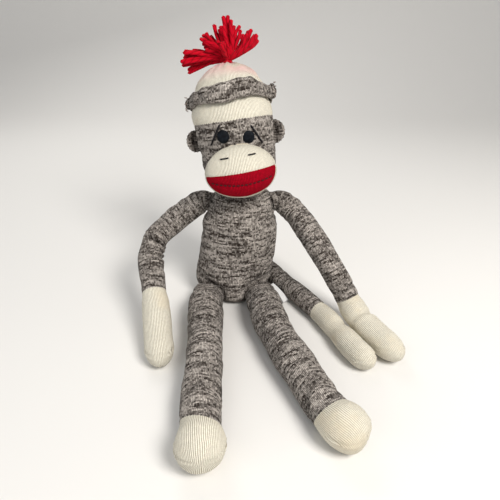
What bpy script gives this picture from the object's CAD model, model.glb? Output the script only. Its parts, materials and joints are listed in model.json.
import bisect
import json
import math
import random

import bmesh
import bpy
from mathutils import Matrix, Vector, noise
from mathutils.bvhtree import BVHTree

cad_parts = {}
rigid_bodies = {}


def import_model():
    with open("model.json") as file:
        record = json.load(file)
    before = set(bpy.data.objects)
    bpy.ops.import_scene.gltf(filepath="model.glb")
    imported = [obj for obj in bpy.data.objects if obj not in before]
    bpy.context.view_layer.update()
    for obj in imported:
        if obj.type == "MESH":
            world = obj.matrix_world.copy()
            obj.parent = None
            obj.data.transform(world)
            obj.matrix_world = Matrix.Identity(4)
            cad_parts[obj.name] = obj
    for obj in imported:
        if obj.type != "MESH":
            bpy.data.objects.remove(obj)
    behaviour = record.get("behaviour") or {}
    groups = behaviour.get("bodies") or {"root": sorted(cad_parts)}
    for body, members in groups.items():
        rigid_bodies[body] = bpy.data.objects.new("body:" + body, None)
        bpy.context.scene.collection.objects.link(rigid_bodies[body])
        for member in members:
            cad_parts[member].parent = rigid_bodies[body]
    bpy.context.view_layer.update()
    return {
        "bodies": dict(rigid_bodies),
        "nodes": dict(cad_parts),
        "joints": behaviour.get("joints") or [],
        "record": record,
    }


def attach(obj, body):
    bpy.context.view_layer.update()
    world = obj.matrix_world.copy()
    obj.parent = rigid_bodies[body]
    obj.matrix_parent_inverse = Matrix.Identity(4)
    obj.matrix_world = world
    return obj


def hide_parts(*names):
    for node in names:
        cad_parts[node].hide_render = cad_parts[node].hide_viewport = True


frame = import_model()
scene = bpy.context.scene
dice = random.Random(11)
sides = {"left": -1, "right": 1}

# One stitch of the sock knit in metres: across is a wale, along is a course
stitch = {"across": 0.0030, "along": 0.0016}
# How far apart the rows of a knit sheet's mesh are
meshStep = {"tube": 0.0016, "turned": 0.0014, "hat": 0.0013}
sunk = 0.0005           # how far a resting form's flat lies below the table's level
tableSoft = 0.0016      # cloth nearer to the table than this lies flat on it
weld = 1e-6             # points nearer together than this become one
rootOverlap = 0.004     # how far an open tube starts inside the body it is sewn to
slantFade = 0.035       # how far up the tube the slant of a colour change is felt
changeTooth = 0.0004    # how far the colour change steps from wale to wale
plyPitch = {"seam": 0.0026, "fray": 0.0022, "tie": 0.004}

lighting = {
    "key": {"place": (0.62, -0.75, 1.05), "size": 0.50, "power": 17.5, "colour": (1.0, 0.965, 0.92)},
    "fill": {"place": (-0.95, -0.85, 0.75), "size": 1.1, "power": 3.6, "colour": (0.94, 0.97, 1.0)},
    "rim": {"place": (-0.35, 0.85, 0.9), "size": 0.7, "power": 4.5, "colour": (1.0, 0.98, 0.95)},
}
stageLook = {
    "aim": (0.02, -0.05, 0.08), "world": 0.34, "floor": (0.80, 0.79, 0.77),
    # the floor's start, its bend and the radius of that, its height and its width
    "near": -2.4, "bendAt": 0.9, "bend": 0.7, "top": 2.6, "wide": 7,
    "lens": 32.4, "camera": (0.019, -0.471, 0.316), "down": 28.8,
}

# wobble is how unevenly the wales run, rib how little each stitch stands out along its wale
marlLook = {
    "roughness": 0.95, "sheen": 0.05, "wobble": 0.7, "rib": 0.66, "fuzz": 0.45, "relief": 0.0007,
    "dark": (0.044, 0.033, 0.027), "pale": (0.70, 0.635, 0.575),
    "gap": 0.12,            # how dark it is down between the stitches
    "share": 0.925,         # higher gives more dark yarn
    "spread": (0.22, 0.25),
    # noise cells per wale and per course: long streaks, and the short dashes in them
    "streak": (0.13, 7.13), "dash": (0.9, 5.37), "dashWeight": 0.60, "fleckWeight": 0.20,
    "wearScale": 34.0, "wear": (0.86, 1.10),
}
creamLook = {
    "roughness": 0.92, "sheen": 0.05, "wobble": 0.45, "rib": 0.74, "fuzz": 0.4, "relief": 0.0006,
    "colour": (0.885, 0.853, 0.735), "deep": (0.40, 0.315, 0.20), "shade": (0.05, 0.80),
    "fleck": (0.93, 1.03), "stain": (0.82, 0.70, 0.50), "stainScale": 22.0, "stainMost": 0.55,
}
redLook = {
    "roughness": 0.9, "sheen": 0.0, "wobble": 0.5, "rib": 0.55, "fuzz": 0.4, "relief": 0.0005,
    "colour": (0.37, 0.0007, 0.012), "deep": (0.12, 0.0004, 0.004), "shade": (0.0, 0.65),
    "fleck": (0.86, 1.08),
}
# Dye that has run from the pompom into the hat, between two courses of the cap
dyeLook = {"from": 9.0, "to": 25.0, "amount": 0.95, "scale": 46.0, "colour": (0.86, 0.50, 0.50)}
yarnLooks = {
    "pompomYarn": {"colour": (0.50, 0.0015, 0.014), "deep": (0.24, 0.0006, 0.006),
                   "roughness": 0.88, "twist": 0.42, "relief": 0.00045},
    "faceThread": {"colour": (0.020, 0.018, 0.020), "deep": (0.004, 0.004, 0.005),
                   "roughness": 0.7, "twist": 0.8, "relief": 0.0003},
    "creamThread": {"colour": (0.82, 0.74, 0.58), "deep": (0.55, 0.45, 0.31),
                    "roughness": 0.9, "twist": 0.8, "relief": 0.0003},
    "marlYarn": {"colour": (0.40, 0.33, 0.29), "deep": (0.045, 0.03, 0.026),
                 "roughness": 0.92, "twist": 0.8, "relief": 0.0004},
}


# Materials

# A material under construction
class Shade:
    def __init__(self, name, roughness, sheen=0.0):
        self.material = bpy.data.materials.new(name)
        self.material.use_nodes = True
        self.tree = self.material.node_tree
        self.shader = self.tree.nodes["Principled BSDF"]
        for socket, value in (("Roughness", roughness), ("Specular IOR Level", 0.08),
                              ("Sheen Weight", sheen), ("Sheen Roughness", 0.5)):
            self.shader.inputs[socket].default_value = value

    # Add a node. A socket as a value is linked, and a plain number is typed in.
    def node(self, kind, values, output=0, **settings):
        node = self.tree.nodes.new(kind)
        for name, setting in settings.items():
            setattr(node, name, setting)
        for socket, value in values.items():
            if isinstance(value, bpy.types.NodeSocket):
                self.tree.links.new(value, node.inputs[socket])
            else:
                node.inputs[socket].default_value = value
        return node.outputs[output]

    def calc(self, operation, *values):
        return self.node("ShaderNodeMath", dict(enumerate(values)), operation=operation)

    def times(self, first, second):
        return self.calc("MULTIPLY", first, second)

    def join(self, x, y, z=0.0):
        return self.node("ShaderNodeCombineXYZ", {0: x, 1: y, 2: z})

    def space(self):
        return self.node("ShaderNodeTexCoord", {}, "Object")

    def noise(self, vector, scale, detail=2.0, roughness=0.5):
        return self.node("ShaderNodeTexNoise", {"Vector": vector, "Scale": scale, "Detail": detail,
                                                "Roughness": roughness}, "Fac")

    # A smooth step of a value between two levels
    def ramp(self, value, low, high, outLow=0.0, outHigh=1.0):
        return self.node("ShaderNodeMapRange", {"Value": value, "From Min": low, "From Max": high,
                                                "To Min": outLow, "To Max": outHigh},
                         "Result", interpolation_type="SMOOTHSTEP")

    def mix(self, factor, first, second, blend="MIX"):
        first, second = ((*value, 1.0) if isinstance(value, tuple) else value
                         for value in (first, second))
        return self.node("ShaderNodeMix", {0: factor, 6: first, 7: second}, 2,
                         data_type="RGBA", blend_type=blend)

    def dim(self, colour, amount):
        return self.mix(1.0, colour, self.join(amount, amount, amount), "MULTIPLY")

    # The knit map, which counts stitches across and along
    def counts(self):
        uv = self.node("ShaderNodeUVMap", {}, uv_map="knit")
        split = self.node("ShaderNodeSeparateXYZ", {0: uv}).node
        return split.outputs[0], split.outputs[1]

    # Stocking stitch: each wale is a row of Vs
    def knit(self, look):
        across, along = self.counts()
        place = self.join(across, along)
        sway = self.calc("SUBTRACT", self.noise(place, 0.21, 2.0), 0.5)
        lift = self.calc("SUBTRACT", self.noise(place, 0.34, 2.0, 0.6), 0.5)
        across = self.calc("MULTIPLY_ADD", sway, look["wobble"], across)
        along = self.calc("MULTIPLY_ADD", lift, look["wobble"] * 1.3, along)
        side = self.calc("ABSOLUTE", self.calc("SUBTRACT", self.calc("FRACT", across), 0.5))
        side = self.times(side, 2.0)
        row = self.calc("FLOOR", self.calc("MULTIPLY_ADD", side, -0.25, along))
        within = self.calc("FRACT", self.calc("MULTIPLY_ADD", side, -0.55, along))
        leg = self.calc("MAXIMUM", self.calc("SINE", self.times(side, math.pi)), 0.0)
        bead = self.calc("SINE", self.times(within, math.pi))
        height = self.times(self.calc("POWER", leg, 0.8),
                            self.calc("MULTIPLY_ADD", bead, 1 - look["rib"], look["rib"]))
        legCount = self.calc("FLOOR", self.times(across, 2.0))
        fleck = self.node("ShaderNodeTexWhiteNoise", {"Vector": self.join(legCount, row)}, "Value",
                          noise_dimensions="3D")
        return {"across": across, "along": along, "row": row, "height": height, "fleck": fleck}

    def finish(self, colour, height, relief):
        self.tree.links.new(colour, self.shader.inputs["Base Color"])
        bump = self.node("ShaderNodeBump", {"Strength": 1.0, "Distance": relief, "Height": height})
        self.tree.links.new(bump, self.shader.inputs["Normal"])
        return self.material

    # The knit's own relief with loose fibres on it
    def finishKnit(self, colour, knit, look):
        fibre = self.calc("SUBTRACT", self.noise(self.space(), 2600.0, 3.0, 0.7), 0.5)
        height = self.calc("MULTIPLY_ADD", fibre, look["fuzz"], knit["height"])
        return self.finish(colour, height, look["relief"])


# Brown and beige yarn twisted together: short dashes along every course
def marledKnit(look):
    tree = Shade("marledKnit", look["roughness"], look["sheen"])
    knit = tree.knit(look)
    streak, dash = (tree.noise(tree.join(tree.times(knit["across"], look[name][0]),
                                         tree.times(knit["row"], look[name][1])), 1.0, detail, 0.6)
                    for name, detail in (("streak", 3.0), ("dash", 2.0)))
    share = tree.calc("MULTIPLY_ADD", dash, look["dashWeight"], streak)
    share = tree.calc("MULTIPLY_ADD", knit["fleck"], look["fleckWeight"], share)
    pale = tree.ramp(share, look["share"] - look["spread"][0], look["share"] + look["spread"][1])
    colour = tree.mix(pale, look["dark"], look["pale"])
    colour = tree.dim(colour, tree.ramp(knit["height"], 0.0, 0.75, look["gap"], 1.0))
    wear = tree.noise(tree.space(), look["wearScale"], 3.0)
    colour = tree.dim(colour, tree.ramp(wear, 0.3, 0.75, *look["wear"]))
    return tree.finishKnit(colour, knit, look)


# Knit of one colour with darker gaps, and with stains or run dye where its look has them
def plainKnit(name, look, dye=None):
    tree = Shade(name, look["roughness"], look["sheen"])
    knit = tree.knit(look)
    colour = tree.mix(tree.ramp(knit["height"], *look["shade"]), look["deep"], look["colour"])
    colour = tree.dim(colour, tree.ramp(knit["fleck"], 0.0, 1.0, *look["fleck"]))
    if "stain" in look:
        cloud = tree.noise(tree.space(), look["stainScale"], 3.0, 0.6)
        colour = tree.mix(tree.ramp(cloud, 0.50, 0.80, 0.0, look["stainMost"]), colour,
                          look["stain"])
    if dye:
        patch = tree.ramp(tree.noise(tree.space(), dye["scale"], 2.0), 0.29, 0.61)
        run = tree.times(tree.ramp(knit["along"], dye["from"], dye["to"]), patch)
        colour = tree.mix(tree.times(run, dye["amount"]), colour, dye["colour"])
    return tree.finishKnit(colour, knit, look)


# Plied yarn: u runs once round the strand and v counts its diameters
def yarnMaterial(name):
    look = yarnLooks[name]
    tree = Shade(name, look["roughness"], 0.03)
    around, along = tree.counts()
    turn = tree.calc("MULTIPLY_ADD", along, look["twist"], tree.times(around, 2.0))
    groove = tree.calc("ABSOLUTE", tree.calc("SINE", tree.times(turn, math.pi)))
    hair = tree.noise(tree.join(tree.times(turn, 9.0), tree.times(along, 1.3)), 1.0, 3.0, 0.7)
    height = tree.calc("MULTIPLY_ADD", hair, 0.5, tree.calc("POWER", groove, 0.55))
    colour = tree.mix(tree.ramp(height, 0.25, 1.2), look["deep"], look["colour"])
    return tree.finish(colour, height, look["relief"])


def eyeMaterial():
    tree = Shade("blackEye", 0.6)
    cloud = tree.ramp(tree.noise(tree.space(), 300.0, 4.0, 0.6), 0.35, 0.7)
    grain = tree.noise(tree.space(), 2400.0, 3.0, 0.7)
    colour = tree.mix(cloud, (0.004, 0.005, 0.007), (0.010, 0.013, 0.018))
    return tree.finish(colour, grain, 0.0002)


# Satin tape, woven fine across and along
def tapeMaterial():
    tree = Shade("whiteTape", 0.42, 0.2)
    across, along = tree.counts()
    weft = tree.calc("SINE", tree.times(along, math.tau * 9.0))
    warp = tree.calc("SINE", tree.times(across, math.tau * 7.0))
    weave = tree.calc("MULTIPLY_ADD", warp, 0.35, weft)
    colour = tree.mix(tree.ramp(weave, -1.2, 1.2), (0.70, 0.71, 0.72), (0.86, 0.86, 0.85))
    return tree.finish(colour, weave, 0.00006)


marl = marledKnit(marlLook)
cream = plainKnit("creamKnit", creamLook)
hatCream = plainKnit("hatCream", creamLook, dyeLook)
red = plainKnit("redKnit", redLook)
yarns = {name: yarnMaterial(name) for name in yarnLooks}
blackEye = eyeMaterial()
whiteTape = tapeMaterial()
print("materials made")


# Shapes

# Points of a Catmull-Rom curve through the stops
def smoothCurve(stops, perSpan=24):
    points = []
    last = len(stops) - 1
    for index in range(last):
        before, start = stops[max(index - 1, 0)], stops[index]
        end, after = stops[index + 1], stops[min(index + 2, last)]
        for step in range(perSpan):
            t = step / perSpan
            points.append(0.5 * ((2 * start) + (end - before) * t
                                 + (2 * before - 5 * start + 4 * end - after) * t ** 2
                                 + (3 * start - before - 3 * end + after) * t ** 3))
    return points + [stops[-1]]


# A smooth path that is read by the distance along it
class Route:
    def __init__(self, stops):
        self.points = smoothCurve(stops)
        self.marks = [0.0]
        for first, second in zip(self.points, self.points[1:]):
            self.marks.append(self.marks[-1] + (second - first).length)
        self.length = self.marks[-1]

    def at(self, distance):
        if distance <= 0:
            back = (self.points[0] - self.points[1]).normalized()
            return self.points[0] - back * distance
        if distance >= self.marks[-1]:
            ahead = (self.points[-1] - self.points[-2]).normalized()
            return self.points[-1] + ahead * (distance - self.marks[-1])
        low = bisect.bisect_right(self.marks, distance) - 1
        t = (distance - self.marks[low]) / max(self.marks[low + 1] - self.marks[low], 1e-9)
        return self.points[low].lerp(self.points[low + 1], t)

    def heading(self, distance, reach=0.003):
        near, far = max(distance - reach, 0), min(distance + reach, self.length)
        if far - near < reach:
            near, far = (0, reach) if distance < reach else (self.length - reach, self.length)
        return (self.at(far) - self.at(near)).normalized()


# Width and height of a section, eased from one station to the next
def easeBetween(stations, distance):
    if distance <= stations[0][0]:
        return stations[0][1:]
    for near, far in zip(stations, stations[1:]):
        if distance <= far[0]:
            t = (distance - near[0]) / (far[0] - near[0])
            t = t * t * (3 - 2 * t)
            return near[1] + (far[1] - near[1]) * t, near[2] + (far[2] - near[2]) * t
    return stations[-1][1:]


def bell(x):
    return math.exp(-x * x)


# The smaller turn from one angle to another
def turnBetween(first, second):
    return (first - second + math.pi) % math.tau - math.pi


# A fold is (place, angle, span, width, depth, slant), with its angles in degrees. It presses
# in along one line and stands up a little on both of its sides.
def foldPush(fold, mark, angle):
    at, facing, span, width, depth, slant = fold
    turn, span = turnBetween(angle, math.radians(facing)), math.radians(span)
    x = (mark - at - slant * turn) / width
    if abs(turn) >= span or abs(x) > 4:
        return 0.0
    window = math.cos(turn / span * math.pi / 2) ** 0.8
    return depth * window * (0.42 * (bell(x - 1.7) + bell(x + 1.7)) - bell(x))


# The uneven stuffing under the knit, in lumps of three sizes
def lumpPush(place, amount, seed):
    spot = place + Vector((seed, seed * 1.7, seed * 0.6))
    return amount * (noise.noise(spot / 0.026) + 0.42 * noise.noise(spot / 0.011)
                     + 0.14 * noise.noise(spot / 0.0045))


# A sewn line: its groove, the welts beside it, and how it puckers along its run
seamLooks = {
    "long": {"groove": 0.0007, "half": 0.0009, "welt": 0.0003, "beside": 0.0019,
             "weltHalf": 0.0010, "swing": 0.4, "pitch": 0.0021},
    "tip": {"groove": 0.0011, "half": 0.0009, "welt": 0.00055, "beside": 0.0021,
            "weltHalf": 0.0011, "swing": 0.3, "pitch": 0.0011},
}


def seamPush(kind, off, run):
    look = seamLooks[kind]
    pucker = 1 - look["swing"] + look["swing"] * math.sin(run / look["pitch"])
    return (look["welt"] * bell((abs(off) - look["beside"]) / look["weltHalf"])
            - look["groove"] * bell(off / look["half"]) * pucker)


def settle(place, soft=tableSoft):
    if place.z < soft:
        place.z = soft * math.exp((place.z - soft) / soft)
    return place


def newBuild():
    build = bmesh.new()
    return build, build.loops.layers.uv.new("knit")


def linkMesh(build, name, material):
    mesh = bpy.data.meshes.new(name)
    build.to_mesh(mesh)
    build.free()
    mesh.materials.append(material)
    mesh.shade_smooth()
    item = bpy.data.objects.new(name, mesh)
    scene.collection.objects.link(item)
    return item


# Weld the seams, turn the faces outwards and make the object
def finishMesh(build, name, material):
    bmesh.ops.remove_doubles(build, verts=build.verts, dist=weld)
    bmesh.ops.recalc_face_normals(build, faces=build.faces)
    middle = sum((vert.co for vert in build.verts), Vector()) / len(build.verts)
    flow = sum(face.calc_area() * face.normal.dot(face.calc_center_median() - middle)
               for face in build.faces)
    if flow < 0:
        bmesh.ops.reverse_faces(build, faces=build.faces)
    return linkMesh(build, name, material)


# Wrap a grid: place gives a corner's spot, and knit its stitch counts
def addSheet(build, layer, columns, marks, place, knit):
    rows = len(marks) - 1
    made = bmesh.ops.create_grid(build, x_segments=columns, y_segments=rows, size=0.5)["verts"]
    spots = {}
    for vert in made:
        column = round((vert.co.x + 0.5) * columns)
        spots[vert] = (column / columns, marks[round((vert.co.y + 0.5) * rows)])
    for face in {face for vert in made for face in vert.link_faces}:
        middle = sum(spots[loop.vert][0] for loop in face.loops) / len(face.loops)
        for loop in face.loops:
            loop[layer].uv = knit(*spots[loop.vert], middle)
    for vert, spot in spots.items():
        vert.co = place(*spot)


def sheetObject(name, columns, marks, place, knit, material):
    build, layer = newBuild()
    addSheet(build, layer, columns, marks, place, knit)
    return finishMesh(build, name, material)


def evenMarks(start, end, step):
    count = max(2, round((end - start) / step))
    return shares(count, start, end)


def shares(count, start=0.0, end=1.0):
    return [start + (end - start) * index / count for index in range(count + 1)]


# The knit map of a flat or round sheet whose numbers are already counted
def plainCounts(across, along):
    return lambda column, mark, middle: (column * across, mark * along)


# A stuffed limb along a route. The same shape gives its marled part and its cream end.
class StuffedTube:
    def __init__(self, route, stations, rootDome, tipDome, lies, look):
        self.route, self.stations = route, stations
        self.rootDome, self.tipDome = rootDome, tipDome
        self.lies, self.look = lies, look
        self.rings = {}
        self.tipStart = route.length - tipDome
        width = sum(station[1] for station in stations[1:]) / (len(stations) - 1)
        self.wales = round(math.pi * width / stitch["across"])
        self.columns = self.wales * 2

    def ring(self, mark):
        if mark not in self.rings:
            width, height = easeBetween(self.stations, mark)
            for at, reach, share in self.look["waists"]:
                squeeze = 1 - share * bell((mark - at) / reach)
                width, height = width * squeeze, height * squeeze
            middle = self.route.at(mark)
            if self.lies:
                middle.z = height / 2 - sunk
            heading = self.route.heading(mark)
            across = heading.cross(Vector((0, 0, 1))).normalized()
            up = across.cross(heading).normalized()
            forward = 0.0
            if self.rootDome and mark < 0:
                forward = max(mark / self.rootDome, -1.0)
            if mark > self.tipStart:
                forward = min((mark - self.tipStart) / self.tipDome, 1.0)
            power = self.look.get("tipPower", 2.0) if forward > 0 else 2.0
            shrink = max(1 - abs(forward) ** power, 0) ** (1 / power)
            self.rings[mark] = (middle, heading, across, up, width, height, shrink, forward)
        return self.rings[mark]

    def place(self, column, mark):
        middle, heading, across, up, width, height, shrink, forward = self.ring(mark)
        angle = math.tau * column - math.pi / 2
        cos, sin = math.cos(angle), math.sin(angle)
        spot = middle + (across * (cos * width) + up * (sin * height)) * (shrink / 2)
        outward = ((across * cos + up * sin) * shrink + heading * forward).normalized()
        push = lumpPush(spot, self.look["lumps"], self.look["seed"])
        for fold in self.look["folds"]:
            push += foldPush(fold, mark, angle)
        count, depth, reach = self.look["gathers"]
        if mark < reach * 4:
            push += (depth * math.exp(-max(mark, 0) / reach)
                     * (math.cos(count * angle + 2.0 * math.sin(angle * 3)) - 0.4))
        push += self.seams(angle, mark, shrink, forward, width)
        spot = spot + outward * (push * min(shrink * 2.2 + 0.25, 1.0))
        return settle(spot)

    # The long seam down one side, and the curved seam that closes the tip
    def seams(self, angle, mark, shrink, forward, width):
        off = turnBetween(angle, math.radians(self.look["longSeam"])) * width / 2 * shrink
        push = seamPush("long", off, mark)
        if forward > 0:
            slope = self.look["tipSeam"]
            off = (math.sin(angle) * shrink - slope * forward) / math.hypot(1, slope) * width / 2
            push += seamPush("tip", off, math.cos(angle) * shrink * width)
        return push

    def knit(self, column, mark, middle):
        if mark <= self.tipStart:
            return column * self.wales, mark / stitch["along"]
        *rest, shrink, forward = self.ring(mark)
        centre = 0.5 if 0.25 < middle < 0.75 else (0.0 if middle < 0.5 else 1.0)
        along = self.tipStart + self.tipDome * math.asin(forward)
        return (centre + (column - centre) * shrink) * self.wales, along / stitch["along"]

    # The rows of the mesh, which crowd together where the tube closes
    def tipMarks(self, start):
        steps = 14
        return evenMarks(start, self.tipStart, meshStep["tube"]) + [
            self.tipStart + self.tipDome * math.sin(math.pi / 2 * (i + 1) / steps)
            for i in range(steps)]

    def rootMarks(self, end):
        if not self.rootDome:
            return evenMarks(-rootOverlap, end, meshStep["tube"])
        steps = 8
        return [-self.rootDome * math.cos(math.pi / 2 * i / steps)
                for i in range(steps)] + evenMarks(0.0, end, meshStep["tube"])

    # The marled part up to the colour change, and the cream end beyond it
    def parts(self, names, change, slant=(0.0, 0.0, 0.0)):
        def shifted(column, mark):
            angle = math.tau * column - math.pi / 2
            if mark <= change:
                share = max(1 - (change - mark) / slantFade, 0)
            else:
                share = max(1 - (mark - change) / (self.tipStart - change), 0)
            offset = slant[0] * math.cos(angle) + slant[1] * math.sin(angle) + slant[2]
            tooth = 0.0
            if mark == change:
                tooth = changeTooth * math.cos(math.tau * column * self.wales)
            return mark + offset * share + tooth

        def place(column, mark):
            return self.place(column, shifted(column, mark))

        def knit(column, mark, middle):
            return self.knit(column, shifted(column, mark), middle)

        marled = sheetObject(names[0], self.columns, self.rootMarks(change), place, knit, marl)
        creamy = sheetObject(names[1], self.columns, self.tipMarks(change), place, knit, cream)
        return marled, creamy


# A stuffed form turned about its own axis, flattened front to back, then placed
class TurnedShape:
    def __init__(self, profile, depthShare, matrix, look, adjust):
        self.route = Route([Vector((radius, 0, height)) for radius, height in profile])
        self.depthShare, self.matrix, self.look, self.adjust = depthShare, matrix, look, adjust
        widest = max(point.x for point in self.route.points)
        self.wales = round(math.pi * widest * (1 + depthShare) / stitch["across"])
        self.turn = matrix.to_3x3()

    def place(self, column, mark):
        angle = math.tau * column + math.pi / 2
        ring, along = self.route.at(mark), self.route.heading(mark, 0.0015)
        radius, height = max(ring.x, 0.0), ring.z
        cos, sin = math.cos(angle), math.sin(angle)
        spot = Vector((radius * cos, radius * sin * self.depthShare, height))
        outward = Vector((along.z * cos, along.z * sin / self.depthShare, -along.x)).normalized()
        fade = min(radius / 0.006, 1.0)
        push = lumpPush(spot, self.look["lumps"], self.look["seed"]) * fade
        for fold in self.look["folds"]:
            push += foldPush(fold, height, angle) * fade
        spot = self.matrix @ (spot + outward * push)
        return self.adjust(spot, angle, mark, (self.turn @ outward).normalized())

    def knit(self, column, mark, middle):
        return column * self.wales, mark / stitch["along"]

    def part(self, name, step, material):
        marks = evenMarks(0.0, self.route.length, step)
        return sheetObject(name, self.wales * 2, marks, self.place, self.knit, material)

    def markAtHeight(self, height):
        best = min(range(len(self.route.points)),
                   key=lambda i: abs(self.route.points[i].z - height)
                   + (1 if self.route.points[i].x < 0.004 else 0))
        return self.route.marks[best]


# A plied strand along the points. Its section turns, so the plies stand out.
def addYarn(build, layer, points, radiusAt, sides, plies, twist, spread):
    count = len(points)
    headings = [(points[min(i + 1, count - 1)] - points[max(i - 1, 0)]).normalized()
                for i in range(count)]
    side = headings[0].orthogonal().normalized()
    frames = []
    lengths = [0.0]
    for index, heading in enumerate(headings):
        side = (side - heading * side.dot(heading)).normalized()
        frames.append((side, heading.cross(side)))
        if index:
            lengths.append(lengths[-1] + (points[index] - points[index - 1]).length)

    def place(column, mark):
        index = int(mark)
        radius = radiusAt(index / (count - 1))
        turn = math.tau * column
        lobe = abs(math.cos((turn - lengths[index] / twist * math.tau) * plies / 2))
        radius *= 1 - spread + spread * lobe
        first, second = frames[index]
        around = first * (math.cos(turn) * radius), second * (math.sin(turn) * radius)
        return points[index] + around[0] + around[1]

    size = max(radiusAt(0.5), 1e-5) * 2

    def knit(column, mark, middle):
        return column, lengths[int(mark)] / size

    addSheet(build, layer, sides, list(range(count)), place, knit)


# Each strand is (points, radiusAt, sides, plies, twist, spread)
def yarnObject(name, strands, material):
    build, layer = newBuild()
    for strand in strands:
        addYarn(build, layer, *strand)
    return finishMesh(build, name, material)


# A strand's radius, closed to a point over a short stretch at both ends
def roundEnds(radius, blunt):
    def radiusAt(t):
        near = min(t, 1 - t)
        if near >= blunt:
            return radius
        return radius * math.sqrt(max(1 - (1 - near / blunt) ** 2, 0))
    return radiusAt


def register(item, body, nodes):
    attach(item, body)
    if nodes:
        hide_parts(*nodes)


# A search tree over several finished meshes
def surfaceTree(*items):
    verts, faces = [], []
    for item in items:
        start = len(verts)
        verts += [vert.co.copy() for vert in item.data.vertices]
        faces += [[start + index for index in face.vertices] for face in item.data.polygons]
    return BVHTree.FromPolygons(verts, faces)


fillLook = {"pressure": 5.0, "spare": 0.030, "cap": 0.0015, "frames": 20}


# Press the knit out with Blender's Cloth, held at its seams, and keep the result
def fillOut(item, still):
    mesh = item.data
    start = [vert.co.copy() for vert in mesh.vertices]
    uses = {}
    for face in mesh.polygons:
        for key in face.edge_keys:
            uses[key] = uses.get(key, 0) + 1
    held = {index for key, count in uses.items() if count == 1 for index in key}
    for place, reach in still:
        held |= {index for index, spot in enumerate(start) if (spot - place).length < reach}
    group = item.vertex_groups.new(name="held")
    group.add(sorted(held), 1.0, "REPLACE")
    cloth = item.modifiers.new("filling", "CLOTH")
    cloth.settings.use_pressure = True
    cloth.settings.uniform_pressure_force = fillLook["pressure"]
    cloth.settings.shrink_min = -fillLook["spare"]
    cloth.settings.effector_weights.gravity = 0.0
    cloth.settings.vertex_group_mass = "held"
    cloth.collision_settings.use_collision = False
    cloth.point_cache.frame_start, cloth.point_cache.frame_end = 1, fillLook["frames"]
    for frame in range(1, fillLook["frames"] + 1):
        scene.frame_set(frame)
    shown = item.evaluated_get(bpy.context.evaluated_depsgraph_get())
    ends = [vert.co.copy() for vert in shown.data.vertices]
    item.modifiers.remove(cloth)
    item.vertex_groups.remove(group)
    for vert, old, new in zip(mesh.vertices, start, ends):
        move = new - old
        if move.length > fillLook["cap"]:
            move *= fillLook["cap"] / move.length
        spot = old + move
        spot.z = max(spot.z, min(old.z, tableSoft))
        vert.co = spot
    scene.frame_set(1)
    print("filled", item.name)


# Torso

torsoLook = {
    "width": 0.088, "depth": 0.066, "height": 0.1305, "back": 0.003,
    "lean": 8.0, "sway": 4.5, "lumps": 0.0011, "seed": 3.1,
    # each bulge: which way it faces, its size, how sharply it turns, its height and reach
    "bulges": (("side", 0.0074, 1.2, 0.020, 0.024), ("front", 0.0042, 2, 0.032, 0.018),
               ("front", 0.0088, 5, 0.006, 0.013)),
    # how far from a seam the knit is drawn in, how deep, and over what reach
    "hip": (0.008, 0.0024, 0.0030), "shoulder": (0.010, 0.0018, 0.0035),
    "neckRoom": (0.046, 0.010), "under": 0.0007,
    # pleats: how deep, how many, and at what distance and reach
    "shoulderPleats": (0.0005, 34, 0.002, 0.004), "neckPleats": (0.0007, 22, 0.033, 0.007),
    "profile": ((0, 0), (.5, 0), (.80, .04), (.93, .14), (.99, .32), (1, .5), (.985, .68),
                (.93, .82), (.80, .92), (.56, .975), (0, 1)),
    "folds": (
        (0.026, 232, 46, 0.0042, 0.0019, -0.012),
        (0.024, 308, 46, 0.0042, 0.0019, 0.013),
        (0.044, 250, 60, 0.0050, 0.0007, -0.008),
        (0.101, 205, 38, 0.0050, 0.0013, 0.010),
        (0.100, 335, 38, 0.0050, 0.0013, -0.010),
        (0.060, 92, 55, 0.0060, 0.0010, 0.0),
    ),
}


def torsoMiddle(height):
    return Vector((height * math.tan(math.radians(torsoLook["sway"])),
                   torsoLook["back"] + height * math.tan(math.radians(torsoLook["lean"])), height))


neckPlace = torsoMiddle(0.122) + Vector((0.0026, 0, 0))
headMatrix = (Matrix.Translation(neckPlace) @ Matrix.Rotation(math.radians(-8), 4, "Y")
              @ Matrix.Rotation(math.radians(-12.5), 4, "X")
              @ Matrix.Rotation(math.radians(3), 4, "Z"))

legRoutes = {
    "left": ((0, 0), (0, -.19), (.020, -.51), (.035, -.81), (.057, -1.0)),
    "right": ((0, 0), (.013, -.07), (.036, -.22), (.080, -.377), (.125, -.497), (.176, -.626),
              (.225, -.755), (.272, -.838), (.340, -.895)),
}
armRoutes = {
    "left": ((0, 0, 0), (.036, 0, 0), (.139, -.030, .144), (.205, -.071, .253),
             (.261, -.129, .350), (.279, -.210, .486), (.267, -.285, .585), (.249, -.366, .695),
             (.220, -.486, .855), (.192, -.623, .985), (.161, -.760, 1.03)),
    "right": ((0, 0, 0), (.036, 0, 0), (.104, -.057, .103), (.195, -.174, .319),
              (.259, -.269, .515), (.330, -.345, .740), (.358, -.375, .850), (.388, -.428, .930),
              (.425, -.492, .98), (.471, -.582, 1.0), (.538, -.715, 1.0)),
}
tailShares = ((0, 0), (.045, .030), (.115, .017), (.182, -.063), (.253, -.193), (.338, -.326),
              (.409, -.453), (.449, -.524), (.494, -.631), (.534, -.733), (.574, -.828),
              (.626, -.913))

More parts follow.
